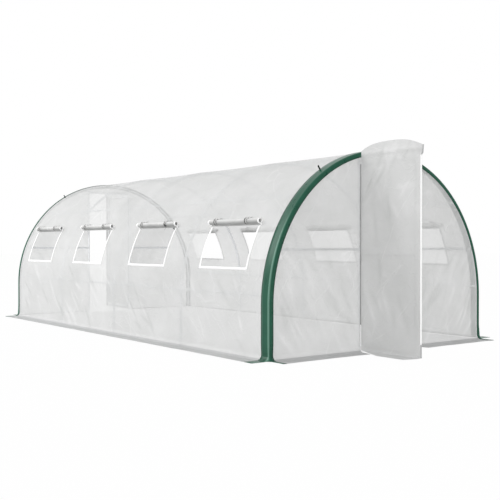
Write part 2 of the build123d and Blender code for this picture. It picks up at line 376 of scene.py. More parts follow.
def woven_film(name, valley, ridge, see_through, glow):
    """Coated woven film: two shades, how much is clear and how much it takes from behind."""
    material, tree, output = new_material(name)
    place = cut_map(tree)
    threads = weave(tree, place, thread_spacing)
    cloud = add(tree, "ShaderNodeTexNoise",
                {"Vector": place, "Scale": 1 / cloud_size, "Detail": 5.0})
    bent = add(tree, "ShaderNodeVectorMath", {0: place, 1: cloud.outputs["Color"]},
               operation="ADD")
    crumple = add(tree, "ShaderNodeTexVoronoi", {"Vector": bent, "Scale": 1 / crumple_size},
                  feature="DISTANCE_TO_EDGE")
    crest = add(tree, "ShaderNodeMapRange",
                {0: crumple.outputs["Distance"], 1: 0.0, 2: crumple_width, 3: 1.0, 4: 0.0},
                interpolation_type="SMOOTHSTEP")
    drift = add(tree, "ShaderNodeVectorMath", {0: cloud.outputs["Color"], 3: crease_drift},
                operation="SCALE")
    shifted = add(tree, "ShaderNodeVectorMath", {0: place, 1: drift}, operation="ADD")
    slanted = add(tree, "ShaderNodeMapping",
                  {"Vector": shifted, "Rotation": (0, 0, crease_turn),
                   "Scale": (crease_stretch, 1, 1)}, vector_type="TEXTURE")
    crease = add(tree, "ShaderNodeTexVoronoi", {"Vector": slanted, "Scale": 1 / crease_size},
                 feature="DISTANCE_TO_EDGE")
    line = add(tree, "ShaderNodeMapRange",
               {0: crease.outputs["Distance"], 1: 0.0, 2: crease_width / crease_size,
                3: 1.0, 4: 0.0}, interpolation_type="SMOOTHSTEP")
    patch = add(tree, "ShaderNodeTexNoise",
                {"Vector": shifted, "Scale": crease_patches, "Detail": 1.0})
    kept = add(tree, "ShaderNodeMapRange",
               {0: patch.outputs["Fac"], 1: 0.48, 2: 0.60, 3: 0.0, 4: 1.0})
    creased = add(tree, "ShaderNodeMath", {0: line, 1: kept}, operation="MULTIPLY")
    broad = add(tree, "ShaderNodeMath", {0: creased, 1: crease_relief, 2: crest},
                operation="MULTIPLY_ADD")
    relief = add(tree, "ShaderNodeMath", {0: threads, 1: thread_relief, 2: broad},
                 operation="MULTIPLY_ADD")
    bump = add(tree, "ShaderNodeBump",
               {"Strength": 0.30, "Distance": film_relief, "Height": relief})
    fold = add(tree, "ShaderNodeAttribute", attribute_name="fold").outputs["Fac"]
    dirt = add(tree, "ShaderNodeMapRange",
               {0: cloud.outputs["Fac"], 1: 0.3, 2: 0.7, 3: 0.25, 4: 0.75})
    # painted shade and light: the fold mark darkens valleys and lightens ridges; dirt adds random
    # cloudy tone
    depth = add(tree, "ShaderNodeMath", {0: fold, 1: painted_shade_strength, 2: dirt},
                operation="MULTIPLY_ADD")
    # sharp creases painted paler: partly whitening of the creased film, partly painted light
    marked = add(tree, "ShaderNodeMath", {0: creased, 1: crease_whitening_and_light, 2: depth},
                 operation="MULTIPLY_ADD")
    held = add(tree, "ShaderNodeClamp", {0: marked})
    shade = add(tree, "ShaderNodeMix", {0: held, 6: tint(valley), 7: tint(ridge)},
                data_type="RGBA").outputs[2]
    shine = add(tree, "ShaderNodeMapRange",
                {0: cloud.outputs["Fac"], 1: 0.2, 2: 0.8, 3: 0.38, 4: 0.55})
    plastic = add(tree, "ShaderNodeBsdfPrincipled", {
        "Base Color": shade, "Roughness": shine, "IOR": 1.45, "Specular IOR Level": 0.35,
        "Normal": bump})
    lit_behind = add(tree, "ShaderNodeBsdfTranslucent", {"Color": shade, "Normal": bump})
    body = add(tree, "ShaderNodeMixShader", {0: glow, 1: plastic, 2: lit_behind})
    clear = add(tree, "ShaderNodeBsdfTransparent", {"Color": tint("FFFFFF")})
    gaps = add(tree, "ShaderNodeMath", {0: threads, 1: thread_clearness, 2: see_through},
               operation="MULTIPLY_ADD")
    film = add(tree, "ShaderNodeMixShader", {0: gaps, 1: body, 2: clear})
    tree.links.new(film.outputs[0], output.inputs["Surface"])
    return material


cover_film = woven_film("woven_polyethylene_cover", "DCDDDC", "F6F6F6", 0.36, 0.35)
# the leaf's film is the cover's film painted darker: painted shade
leaf_film = woven_film("woven_polyethylene_leaf", "D0D1D0", "E6E6E6", 0.04, 0.15)
# the skirt film is painted darker than the cover's: painted shade
skirt_film = woven_film("woven_polyethylene_skirt", "C2C3C3", "D2D3D3", 0.04, 0.12)
# the flap film's dark shade marks each turn's underside and the inside film the core: painted shade
flap_film = woven_film("woven_polyethylene_flap", "A3A4A3", "ECECEB", 0.02, 0.04)
painted_core_shade = woven_film("woven_polyethylene_flap_core_shade", "8C8D8C", "A4A5A4", 0.03, 0.06)

# %% [markdown]
# The green trim is the same kind of film, dyed through and coated to a satin shine. What tells
# it from paint is its soft highlight along the bend, the fine rib of the weave and the slightly
# uneven dye. Its edges are turned under and sewn, which shows as a darker line. Along the bend a
# paler line is painted into the colour: a painted highlight, full on the leg and faint on the arch.

# %% Green trim film
rib_spacing = 0.006
trim_front_cut = 0.045
trim_side_cut = 0.118
trim_rear_cut = 0.055
painted_highlight_middle = 0.012
painted_highlight_width = 0.017
painted_highlight_full = 1.95          # this far from the ridge and further
painted_highlight_faint = 1.3          # this far and nearer


def dyed_film(name, colour, deep, painted_highlight_colour):
    """Satin dyed film with hems and a painted highlight on the bend; UV x runs along it, y across.
    """
    material, tree, output = new_material(name)
    place = cut_map(tree)
    rib = weave(tree, place, rib_spacing)
    blot = add(tree, "ShaderNodeTexNoise", {"Vector": place, "Scale": 9.0, "Detail": 4.0})
    across = add(tree, "ShaderNodeSeparateXYZ", {0: place}).outputs["Y"]
    edges = add(tree, "ShaderNodeMapRange",
                {0: across, 1: -trim_front_cut, 2: trim_side_cut, 3: -1.0, 4: 1.0})
    spread = add(tree, "ShaderNodeMath", {0: edges}, operation="ABSOLUTE")
    hem = add(tree, "ShaderNodeMapRange", {0: spread, 1: 0.86, 2: 0.93, 3: 0.0, 4: 1.0},
              interpolation_type="SMOOTHSTEP")
    dye = add(tree, "ShaderNodeMix",
              {0: blot.outputs["Fac"], 6: tint(deep), 7: tint(colour)}, data_type="RGBA")
    worn = add(tree, "ShaderNodeMix", {0: hem, 6: dye.outputs[2], 7: tint(deep)},
               data_type="RGBA")
    along = add(tree, "ShaderNodeSeparateXYZ", {0: place}).outputs["X"]
    far = add(tree, "ShaderNodeMath", {0: along}, operation="ABSOLUTE")
    # painted highlight: a paler line along the bend, full on the leg and faint up the arch
    low = add(tree, "ShaderNodeMapRange",
              {0: far, 1: painted_highlight_faint, 2: painted_highlight_full, 3: 0.10, 4: 1.0},
              interpolation_type="SMOOTHSTEP")
    off_bend = add(tree, "ShaderNodeMath", {0: across, 1: painted_highlight_middle}, operation="SUBTRACT")
    beside = add(tree, "ShaderNodeMath", {0: off_bend}, operation="ABSOLUTE")
    near = add(tree, "ShaderNodeMapRange",
               {0: beside, 1: 0.001, 2: painted_highlight_width, 3: 1.0, 4: 0.0},
               interpolation_type="SMOOTHSTEP")
    painted_highlight = add(tree, "ShaderNodeMath", {0: near, 1: low}, operation="MULTIPLY")
    skin = add(tree, "ShaderNodeMix", {0: painted_highlight, 6: worn.outputs[2], 7: tint(painted_highlight_colour)},
               data_type="RGBA")
    height = add(tree, "ShaderNodeMath", {0: rib, 1: 0.15, 2: hem}, operation="MULTIPLY_ADD")
    bump = add(tree, "ShaderNodeBump", {"Strength": 0.5, "Distance": 0.001, "Height": height})
    shine = add(tree, "ShaderNodeMapRange",
                {0: blot.outputs["Fac"], 1: 0.3, 2: 0.7, 3: 0.26, 4: 0.34})
    plastic = add(tree, "ShaderNodeBsdfPrincipled", {
        "Base Color": skin.outputs[2], "Roughness": shine, "IOR": 1.5,
        "Specular IOR Level": 0.25, "Normal": bump})
    tree.links.new(plastic.outputs[0], output.inputs["Surface"])
    return material


# the last colour is the painted highlight along the bend
trim_film = dyed_film("dyed_green_film", "1C6049", "134B38", "6E9887")

# %% [markdown]
# Binding is polyester tape: white, dull and ribbed across. The white tapes give off a little light
# of their own: painted light that keeps them white. A tape may have a dark band on one side of
# its middle: a painted shadow line. The ties and the webbing loops are the same kind of tape in
# other colours.

# %% Woven tape
tape_rib = 0.003
no_hem = 9.0                # wider than any tape


def woven_tape(name, colour, shade, painted_glow=0.0, hem=no_hem, shadow_line_colour="454646"):
    """Ribbed tape: two shades, its painted glow, and where across it a painted shadow line starts.
    """
    material, tree, output = new_material(name)
    place = cut_map(tree)
    ribs = weave(tree, place, tape_rib)
    fleck = add(tree, "ShaderNodeTexNoise", {"Vector": place, "Scale": 120.0, "Detail": 3.0})
    mixed = add(tree, "ShaderNodeMath", {0: ribs, 1: 0.5, 2: fleck.outputs["Fac"]},
                operation="MULTIPLY_ADD")
    level = add(tree, "ShaderNodeMapRange", {0: mixed, 1: 0.3, 2: 1.1, 3: 0.0, 4: 1.0})
    yarn = add(tree, "ShaderNodeMix", {0: level, 6: tint(shade), 7: tint(colour)},
               data_type="RGBA")
    across = add(tree, "ShaderNodeSeparateXYZ", {0: place}).outputs["Y"]
    # painted shadow line: the tape turns dark grey past this point across it
    painted_shadow_line = add(tree, "ShaderNodeMapRange", {0: across, 1: hem, 2: hem + 0.002, 3: 0.0, 4: 1.0})
    cloth = add(tree, "ShaderNodeMix", {0: painted_shadow_line, 6: yarn.outputs[2], 7: tint(shadow_line_colour)},
                data_type="RGBA")
    bump = add(tree, "ShaderNodeBump", {"Strength": 0.4, "Distance": 0.0006, "Height": mixed})
    fibre = add(tree, "ShaderNodeBsdfPrincipled", {
        "Base Color": cloth.outputs[2], "Roughness": 0.82, "IOR": 1.5,
        "Specular IOR Level": 0.25, "Emission Color": tint("FFFFFF"),
        "Emission Strength": painted_glow, "Normal": bump})
    tree.links.new(fibre.outputs[0], output.inputs["Surface"])
    return material


# the glow of both white tapes is painted light; the leaf's edge tape glows more
white_tape = woven_tape("white_polyester_tape", "FDFDFD", "F6F6F6", painted_glow=0.10)
leaf_tape = woven_tape("white_edge_tape", "FDFDFD", "F6F6F6", painted_glow=0.30)
# one side of each tie is painted dark grey: a painted shadow line
tie_tape = woven_tape("grey_polyester_tape", "EAEAE8", "DADAD8", hem=-0.002)
# grey strip for the shaded gap at the hinges: painted shade
gap_shade_tape = woven_tape("grey_gap_shade_tape", "A9AAAA", "979898")
loop_webbing = woven_tape("dark_webbing", "24352E", "16211D")

# %% [markdown]
# The tubes are galvanised steel: a thin zinc skin, dull grey with a soft sheen and patches of
# slightly different shade where the zinc froze. It is drawn on Object coordinates, because the
# tubes come from the frame and have no flat cut. The screws are bright zinc-plated steel.

# %% Galvanised steel
spangle_size = 0.018


def zinc(name, colour, dark, rough_low, rough_high):
    """Zinc on steel, with patches of shade and sheen."""
    material, tree, output = new_material(name)
    place = add(tree, "ShaderNodeTexCoord").outputs["Object"]
    spangle = add(tree, "ShaderNodeTexVoronoi", {"Vector": place, "Scale": 1 / spangle_size})
    grey = add(tree, "ShaderNodeSeparateColor", {0: spangle.outputs["Color"]}).outputs[0]
    smear = add(tree, "ShaderNodeTexNoise", {"Vector": place, "Scale": 14.0, "Detail": 6.0})
    level = add(tree, "ShaderNodeMath", {0: grey, 1: 0.4, 2: smear.outputs["Fac"]},
                operation="MULTIPLY_ADD")
    skin = add(tree, "ShaderNodeMix", {0: level, 6: tint(dark), 7: tint(colour)},
               data_type="RGBA")
    rough = add(tree, "ShaderNodeMapRange",
                {0: level, 1: 0.2, 2: 1.0, 3: rough_low, 4: rough_high})
    bump = add(tree, "ShaderNodeBump",
               {"Strength": 0.15, "Distance": 0.0005, "Height": smear.outputs["Fac"]})
    metal = add(tree, "ShaderNodeBsdfPrincipled", {
        "Base Color": skin.outputs[2], "Metallic": 1.0, "Roughness": rough, "Normal": bump})
    tree.links.new(metal.outputs[0], output.inputs["Surface"])
    return material


tube_zinc = zinc("galvanised_steel", "F2F3F4", "DCDFE1", 0.40, 0.56)
screw_zinc = zinc("zinc_plated_steel", "E4E6E8", "C8CBCE", 0.22, 0.35)

steel_nodes = [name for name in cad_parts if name.startswith("hoop_") or "purlin" in name
               or name.endswith(("_posts", "_rails", "_door_frame"))]
for name in steel_nodes:
    for place in bpy.data.objects[name].material_slots:
        place.material = tube_zinc
print("steel:", ", ".join(sorted(steel_nodes)))

# %% [markdown]
# Self-tapping screws hold the hoop pieces in the sleeves of the cross fittings: two in each
# fitting, on its inner side. A pan head is a flattened ball, sunk halfway into the steel.

# %% Screws in the fittings
screw_offset = 0.030
screw_radius = 0.0046
sleeve_depth = 0.024        # the sleeves' inner side lies this far below the purlin's top
sleeve_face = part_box("ridge_purlin")[1].z - leg_height - sleeve_depth
screw_angles = [math.radians(angle) for angle in
                (low_purlin, high_purlin, 90, 180 - high_purlin, 180 - low_purlin)]
screws = bmesh.new()
for hoop_y in hoop_places:
    for angle in screw_angles:
        for shift in (-screw_offset, screw_offset):
            turn = angle + shift / sleeve_face
            inward = Vector((-math.cos(turn), 0, -math.sin(turn)))
            spot = Vector((0, hoop_y, leg_height)) - inward * sleeve_face
            turned = inward.to_track_quat("Z", "Y").to_matrix().to_4x4()
            shape = Matrix.Translation(spot) @ turned @ Matrix.Diagonal((1, 1, 0.5, 1))
            bmesh.ops.create_uvsphere(screws, u_segments=12, v_segments=8,
                                      radius=screw_radius, matrix=shape)
to_piece(screws, "fitting_screws", "tunnel", "galvanised_steel", screw_zinc)
print("screws:", len(hoop_places) * len(screw_angles) * 2)

# %% [markdown]
# Now the cover itself. The windows are scored and cut on the flat, then the whole cloth is
# thrown over the line. The part below the bend lies on the ground; it gets its own film, which
# is doubled, has no light behind it and is painted darker: painted shade. Its free edge is a
# little wavy.

# %% The cover
window_width = 0.78
window_height = 0.445
window_sill = 0.335
window_shift = 0.045        # towards the rear from the middle of a bay
bay_count = len(hoop_places) - 1
window_centres = [(bay + 0.5 - bay_count / 2) * 2 * half_length / bay_count + window_shift
                  for bay in range(bay_count)]
sill_run = arch_run - window_sill
head_run = sill_run - window_height
cover_cell = 0.0215
skirt_wave = 0.004
rim_tuck = 0.007            # both cloths round over the end hoop, under the trim
rim_width = 0.026
end_fade = 0.25             # folds fade out over this length before the end hoop

fold_rise = 0.005
fold_range = (-2.8, 2.8)    # along the tunnel
side_folds = {side: folds_in(11 + side, 60, (arch_run - 0.20, skirt_start - 0.02),
                             fold_range, 45 * side, fold_rise)
              for side in (-1, 1)}
roof_folds = folds_in(5, 26, (-1.5, 1.5), fold_range, 60, 0.0016)


def on_cover(reach, y, lift=0.0):
    """The place on the stretched cover of a point of the flat cut, lifted off it by a distance."""
    x, z, out_x, out_z = vault_line(reach)
    side = 1 if reach >= 0 else -1
    run = abs(reach)
    height = lift - sinking(reach, y)
    above_bend = smooth((skirt_start - run) / 0.08)
    height -= rim_tuck * above_bend * smooth(1 - (half_length - abs(y)) / rim_width)
    fade = smooth((half_length - abs(y)) / end_fade) * above_bend
    if fade > 0:
        height += fade * fold_height(side_folds[side], run, y)
        height += fade * fold_height(roof_folds, reach, y)
    if run > skirt_start + bend_run:
        edge = smooth((run - skirt_start - bend_run) / 0.1) * smooth((half_length - abs(y)) / 0.3)
        height += edge * skirt_wave * (0.5 + 0.5 * noise.noise(Vector((y * 4, side * 3.7, 0.0))))
    return Vector((x + out_x * height, y, z + out_z * height))


def in_window(middle):
    """Whether a place on the flat cover lies in one of the openings."""
    in_height = head_run < abs(middle.x) < sill_run
    return in_height and any(abs(middle.y - centre) < window_width / 2 for centre in window_centres)


cover = flat_cut(-skirt_end, skirt_end, -half_length, half_length, cover_cell)
for side in (-1, 1):
    for run in (head_run, sill_run, skirt_start, skirt_start + bend_run / 2):
        score(cover, x=side * run)
    for centre in window_centres:
        score(cover, y=centre + side * window_width / 2)
cut_out(cover, in_window)
keep_cut(cover)
mark_folds(cover, lambda vert: side_folds[1 if vert.co.x > 0 else -1], fold_rise)
# the skirt faces take the darker skirt film: painted shade
for face in cover.faces:
    face.material_index = 1 if abs(face.calc_center_median().x) > skirt_start + bend_run / 2 else 0
hang(cover, lambda vert: on_cover(vert.co.x, vert.co.y))
cover_sheet = to_piece(cover, "cover_sheet", "tunnel", "clear_woven_cover", cover_film, skirt_film)
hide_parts(*[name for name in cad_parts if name.startswith(
    ("lower_wall", "window_band", "roof_", "skirt_"))])

# %% [markdown]
# The end walls are flat cloths with an arched top. A square grid is squeezed into that outline:
# each column of the grid ends on the arch. The doorway is then scored and cut out. Below the
# wall's foot the cloth goes on as the front skirt, which is bent outwards and ends at a slant
# beside the doorway. The strip between that slant and the doorway hangs straight down.

# %% The end walls
doorway_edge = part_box("front_wall_right")[0].x
doorway_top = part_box("front_wall_top")[0].z
end_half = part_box("front_wall_right")[1].x
slant_in = 0.36
slant_out = 0.415
front_skirt_cut = skirt_end - skirt_start
wall_height = leg_height + end_half
end_cell = 0.018
tab_foot = 0.006

end_folds = (folds_in(21, 40, (0.45, 1.35), (0.08, 0.95), 60, fold_rise)
             + folds_in(23, 18, (0.0, 1.0), (1.0, 1.9), 75, 0.5 * fold_rise))


def slant(y):
    """Half the width between the two front skirts at a height of the flat cut."""
    return slant_in + (slant_out - slant_in) * (skirt_top - y) / front_skirt_cut


def squeeze(vert):
    """A point of the square grid moved into the arched outline."""
    x = end_half * math.sin(vert.co.x / end_half * math.pi / 2)
    if vert.co.y <= skirt_top:
        return Vector((x, vert.co.y, 0))
    top = leg_height + math.sqrt(max(0.0, end_half**2 - x * x))
    share = (vert.co.y - skirt_top) / (wall_height - skirt_top)
    return Vector((x, skirt_top + share * (top - skirt_top), 0))


def end_lift(x, y):
    """How far the stretched end wall stands proud, nought at its edges."""
    rim = end_half - (math.hypot(x, y - leg_height) if y > leg_height else abs(x))
    fade = smooth((rim - 0.05) / 0.15) * smooth((y - skirt_top) / 0.12)
    if y < doorway_top:
        beside_door = smooth((abs(x) - doorway_edge) / 0.25)
    else:
        beside_door = smooth((y - doorway_top) / 0.2)
    billow = 0.003 + 0.003 * noise.noise(Vector((x * 1.7, y * 1.7, 4.0)))
    return fade * (0.15 + 0.85 * beside_door) * max(0.0, billow + fold_height(end_folds, abs(x), y))


def on_end(vert):
    """The place of a point of the flat cut on the front end."""
    x, y = vert.co.x, vert.co.y
    if y < skirt_top and any(face.material_index for face in vert.link_faces):
        out, z, _, _ = below_bend(skirt_top - y)
        wave = skirt_wave * smooth((skirt_top - y - bend_run) / 0.1)
        wave *= smooth((end_half - abs(x)) / 0.3) * smooth((abs(x) - slant_out) / 0.3)
        rise = wave * (0.5 + 0.5 * noise.noise(Vector((x * 4, 9.1, 0.0))))
        return Vector((x, -half_length - out, z + rise))
    rim = end_half - (math.hypot(x, y - leg_height) if y > leg_height else abs(x))
    tuck = 0.45 * rim_tuck * smooth(1 - rim / 0.02) * smooth((y - skirt_top) / 0.08)
    return Vector((x, tuck - half_length - end_lift(x, y), y))


front_end = flat_cut(-end_half, end_half, skirt_top - front_skirt_cut, wall_height, end_cell)
score(front_end, y=skirt_top)
score(front_end, y=skirt_top - bend_run / 2)
hang(front_end, squeeze)
for side in (-1, 1):
    score(front_end, x=side * doorway_edge)
    score(front_end, point=(side * slant_in, skirt_top),
          way=(side * (slant_out - slant_in), -front_skirt_cut),
          only=lambda middle: middle.y < skirt_top)
score(front_end, y=doorway_top)
score(front_end, y=tab_foot)
cut_out(front_end, lambda middle: abs(middle.x) < doorway_edge and middle.y < doorway_top)
cut_out(front_end, lambda middle: middle.y < tab_foot and abs(middle.x) < slant(middle.y))
keep_cut(front_end)
mark_folds(front_end, lambda vert: end_folds, fold_rise)
# the front skirts take the darker skirt film: painted shade
for face in front_end.faces:
    middle = face.calc_center_median()
    face.material_index = 1 if middle.y < skirt_top and abs(middle.x) > slant(middle.y) else 0
slant_edges = [edge for edge in front_end.edges
               if len({face.material_index for face in edge.link_faces}) > 1
               and sum(vert.co.y for vert in edge.verts) / 2 < skirt_top - 1e-4]
bmesh.ops.split_edges(front_end, edges=slant_edges)
hang(front_end, on_end)
flat_place = front_end.loops.layers.uv["cut"]
for face in front_end.faces:
    if max(corner[flat_place].uv.y for corner in face.loops) > skirt_top - bend_run / 2 + 1e-4:
        face.material_index = 0
bmesh.ops.recalc_face_normals(front_end, faces=front_end.faces)

for end, cloth in both_ends(front_end).items():
    made = to_piece(cloth, end + "_end_sheet", "tunnel", "clear_woven_cover",
                    cover_film, skirt_film)
    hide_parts(end + "_wall_right", end + "_wall_left", end + "_wall_top", end + "_skirts")

# %% [markdown]
# Each door leaf is a steel frame with a cloth on its outer face. The cloth is larger than the
# frame: its arched top laps over the trim when the door is shut, its foot flap drags on the
# ground, and its free edge is turned back and bound with white tape. The leaf is cut flat as the
# shut door is seen from outside, then hung in the pose of the photograph, a quarter turn open.
# When the door shuts, the foot flap and the loose corner are pressed flat against the wall.

# %% The door leaves
leaf_low, leaf_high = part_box("front_door_sheet")
leaf_inset = 0.026          # the cloth is smaller than the solid by this much
leaf_face = leaf_low.x
leaf_width = leaf_high.y - leaf_low.y - leaf_inset
leaf_crown = leaf_high.z - leaf_inset
leaf_shoulder = leaf_crown - 0.070
leaf_fold = 0.022
leaf_return = 0.020
flap_reach = 0.128
flap_hinge_slant = 0.33
flap_free_slant = 0.094
leaf_cell = 0.020
tape_from = 0.144
tape_to = 1.87
leaf_tape_wall = 0.0015
leaf_tape_gap = 0.0025      # the tape lies this far outside the cloth's edge
leaf_tape_start = 0.002
leaf_bar = 1.935            # where the cloth bends over the top of its frame
bar_rise = 0.004
bar_reach = 0.018
bar_shadow = 0.022
painted_bar_shade = 0.6
# painted light: the cloth above the bar is painted paler
painted_top_light = 0.35             # the cloth above the bar takes more light
flap_lag = 0.013            # the foot flap's free edge lies this much lower than its fold
crease_place = (0.675, 2.00)    # a point of the loose corner's crease, across and up
crease_way = (0.88, 0.26)
corner_slope = 0.45

leaf_folds = folds_in(31, 22, (0.08, 0.70), (0.15, 1.9), 112, 0.7 * fold_rise) + folds_in(
    32, 10, (0.08, 0.70), (1.5, 1.95), 60, 0.7 * fold_rise)


def leaf_top(across):
    """Height of the leaf's arched top at a distance from the hinge line."""
    spread = min(1.0, abs(2 * across / leaf_width - 1))
    return leaf_shoulder + (leaf_crown - leaf_shoulder) * (1 - spread**3)


def arch_leaf(vert):
    """A point of the square grid moved under the arched top; the flap below stays as it is."""
    if vert.co.y <= leaf_fold:
        return vert.co.copy()
    share = (vert.co.y - leaf_fold) / (leaf_crown - leaf_fold)
    return Vector((vert.co.x, leaf_fold + share * (leaf_top(vert.co.x) - leaf_fold), 0))


def leaf_bulge(across, height):
    """How far the leaf's cloth stands off its frame."""
    fade = smooth(across / 0.06) * smooth((leaf_width - across) / 0.06)
    fade *= smooth((height - leaf_fold) / 0.1)
    bar = math.exp(-((height - leaf_bar) / bar_reach) ** 2) * bar_rise
    cloud = 0.0015 + 0.002 * noise.noise(Vector((across * 2.3, height * 1.5, 7.0)))
    return fade * max(0.0, cloud + bar + fold_height(leaf_folds, across, height))


def corner_drop(across, height):
    """How far the loose top corner at the free edge folds back, past a slanted crease."""
    past = (across - crease_place[0]) * crease_way[0] + (height - crease_place[1]) * crease_way[1]
    return corner_slope * max(0.0, past) if height > tape_to else 0.0


def on_leaf(across, height, out):
    """The place of a point of the leaf at rest, by its distance from the hinge line."""
    return Vector((leaf_face - out, leaf_high.y - across, height))


def leaf_place(vert):
    """The place of a point of the flat leaf: on the flap, on the turned-back edge or between."""
    across, height = vert.co.x, vert.co.y
    if height < leaf_fold - 1e-5:
        drop = leaf_fold - height
        slope = min(1.0, drop / flap_reach)
        return on_leaf(across, leaf_fold - flap_lag * slope**0.6, drop)
    if across > leaf_width:
        turned = leaf_width - across - corner_drop(leaf_width, height)
        return on_leaf(leaf_width, height, turned)
    return on_leaf(across, height, leaf_bulge(across, height) - corner_drop(across, height))


leaf = flat_cut(0, leaf_width + leaf_return, leaf_fold - flap_reach, leaf_crown, leaf_cell)
score(leaf, y=leaf_fold)
score(leaf, x=leaf_width)
score(leaf, x=leaf_width - 0.006)
below = {"only": lambda middle: middle.y < leaf_fold}
score(leaf, point=(0, leaf_fold), way=(flap_hinge_slant, -flap_reach), **below)
score(leaf, point=(leaf_width, leaf_fold), way=(-flap_free_slant, -flap_reach), **below)


def off_flap(middle):
    """Whether a place below the leaf's fold lies outside the slanted flap."""
    drop = (leaf_fold - middle.y) / flap_reach
    return drop > 0 and not flap_hinge_slant * drop < middle.x < leaf_width - flap_free_slant * drop


cut_out(leaf, off_flap)
hang(leaf, arch_leaf)
keep_cut(leaf)
mark_folds(leaf, lambda vert: leaf_folds, fold_rise)
fold_mark = leaf.verts.layers.float["fold"]
# painted shade just below the frame's top bar and painted light above it, added to the fold mark
for vert in leaf.verts:
    past_bar = (vert.co.y - leaf_bar) / bar_shadow
    vert[fold_mark] += painted_bar_shade * past_bar * math.exp(-past_bar * past_bar)
    if past_bar > 0:
        vert[fold_mark] += painted_top_light
# the turned-back edge outside the tape wears the darker skirt film: painted shade
for face in leaf.faces:
    middle = face.calc_center_median()
    unbound = middle.x > leaf_width and not tape_from < middle.y < tape_to
    face.material_index = 1 if unbound else 0
hang(leaf, leaf_place)
bmesh.ops.recalc_face_normals(leaf, faces=leaf.faces)

tape = flat_cut(0, leaf_return, tape_from, tape_to, leaf_return)
keep_cut(tape)
hang(tape, lambda vert: on_leaf(leaf_width + leaf_tape_gap, vert.co.y,
                                leaf_tape_start - vert.co.x))
bmesh.ops.recalc_face_normals(tape, faces=tape.faces)

leaves = both_ends(leaf)
tapes = both_ends(tape)
for end in ("front", "rear"):
    made = to_piece(leaves[end], end + "_leaf_sheet", end + "_door", "clear_woven_cover",
                    leaf_film, skirt_film)
    edging = to_piece(tapes[end], end + "_leaf_tape", end + "_door", "white_binding",
                      leaf_tape)
    thicken(edging, leaf_tape_wall)
    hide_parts(end + "_door_sheet")
    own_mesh(made)

# %% [markdown]
# Beside the hinges the doorway's edge is finished with tape: grey along the hinge line, which is
# painted shade standing for the dark gap there, and white at its foot. Both are narrow strips
# sewn on the end wall, so they are flat cuts like the rest, laid a hair in front of it.

# %% Tape beside the hinges
hinge_tape_width = 0.012
hinge_tape_foot = 0.27
hinge_tape_top = doorway_top - 0.015
hem_foot = 0.056
jamb_lift = 0.0024
tape_wall = 0.0014


def jamb_tape(low, high):
    """A strip on the front end wall along the hinge side of the doorway."""
    strip = flat_cut(-doorway_edge - hinge_tape_width, -doorway_edge, low, high,
                     hinge_tape_width)
    keep_cut(strip)
    hang(strip, lambda vert: Vector((vert.co.x, -half_length - jamb_lift, vert.co.y)))
    bmesh.ops.recalc_face_normals(strip, faces=strip.faces)
    return strip


# the grey hinge strip is painted shade for the gap beside the leaf
jamb_tapes = (("hinge_shade_tape", hinge_tape_foot, hinge_tape_top, gap_shade_tape, "dark_webbing"),
              ("hem_tape", hem_foot, hinge_tape_foot, white_tape, "white_binding"))
for label, low, high, finish, slot in jamb_tapes:
    for end, cut in both_ends(jamb_tape(low, high)).items():
        thicken(to_piece(cut, f"{end}_{label}", "tunnel", slot, finish), tape_wall)

# %% [markdown]
# The trim is a long strip folded over the edge of the arch: its wide side lies on the roof and
# its narrow side on the end wall, with a soft bend between, where the light catches it. At the
# ground it splits and flares both ways over the skirts. It is cut as one strip, wrapped over the
# bend, and parted along the bend's line where the feet begin.

# %% The green trim
trim_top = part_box("front_trim")[1].z
trim_lift = trim_top - leg_height - cover_radius
trim_bend = 0.018
trim_tip = 0.009
trim_wall = 0.0016
trim_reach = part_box("front_trim")[1].x + trim_tip - cover_radius
trim_end = skirt_start + bend_run + trim_reach - bend_radius
trim_parting = skirt_start + bend_radius * math.radians(78)
trim_cell = 0.030
trim_crease = 0.0008        # the bend's radius at the feet, where the strip is parted
corner_run = trim_bend * math.pi / 4
trim_face = -half_length - trim_lift


def wrap_corner(across, bend):
    """Offsets across the fold: inward from the roof line, and back from the front face."""
    half = bend * math.pi / 4
    if across > half:
        return 0.0, bend + across - half
    if across < -half:
        return bend - across - half, 0.0
    turn = math.pi / 4 - across / bend
    return bend * (1 - math.cos(turn)), bend * (1 - math.sin(turn))


def trim_foot(reach, across, on_roof):
    """The place of a point of one of the two feet."""
    side = 1 if reach >= 0 else -1
    out, z, way_out, way_up = below_bend(abs(reach) - skirt_start)
    away = out + trim_lift * way_out
    z += trim_lift * way_up
    if on_roof:
        return Vector((side * (cover_radius + away), trim_face + max(0.0, across), z))
    return Vector((side * (cover_radius + trim_lift + min(0.0, across)), -half_length - away, z))


def trim_place(vert):
    """The place of a point of the flat trim, round the arch or on one of its feet."""
    reach, across = vert.co.x, vert.co.y
    run = abs(reach)
    if run > skirt_start:
        on_roofs = {face.calc_center_median().y > 0 for face in vert.link_faces}
        places = [trim_foot(reach, across, on_roof) for on_roof in on_roofs]
        return sum(places, Vector()) / len(places)
    bend = trim_crease + (trim_bend - trim_crease) * smooth((skirt_start - run) / 0.12)
    inward, along = wrap_corner(across, bend)
    x, z, out_x, out_z = vault_line(reach)
    height = trim_lift - inward
    return Vector((x + out_x * height, trim_face + along, z + out_z * height))


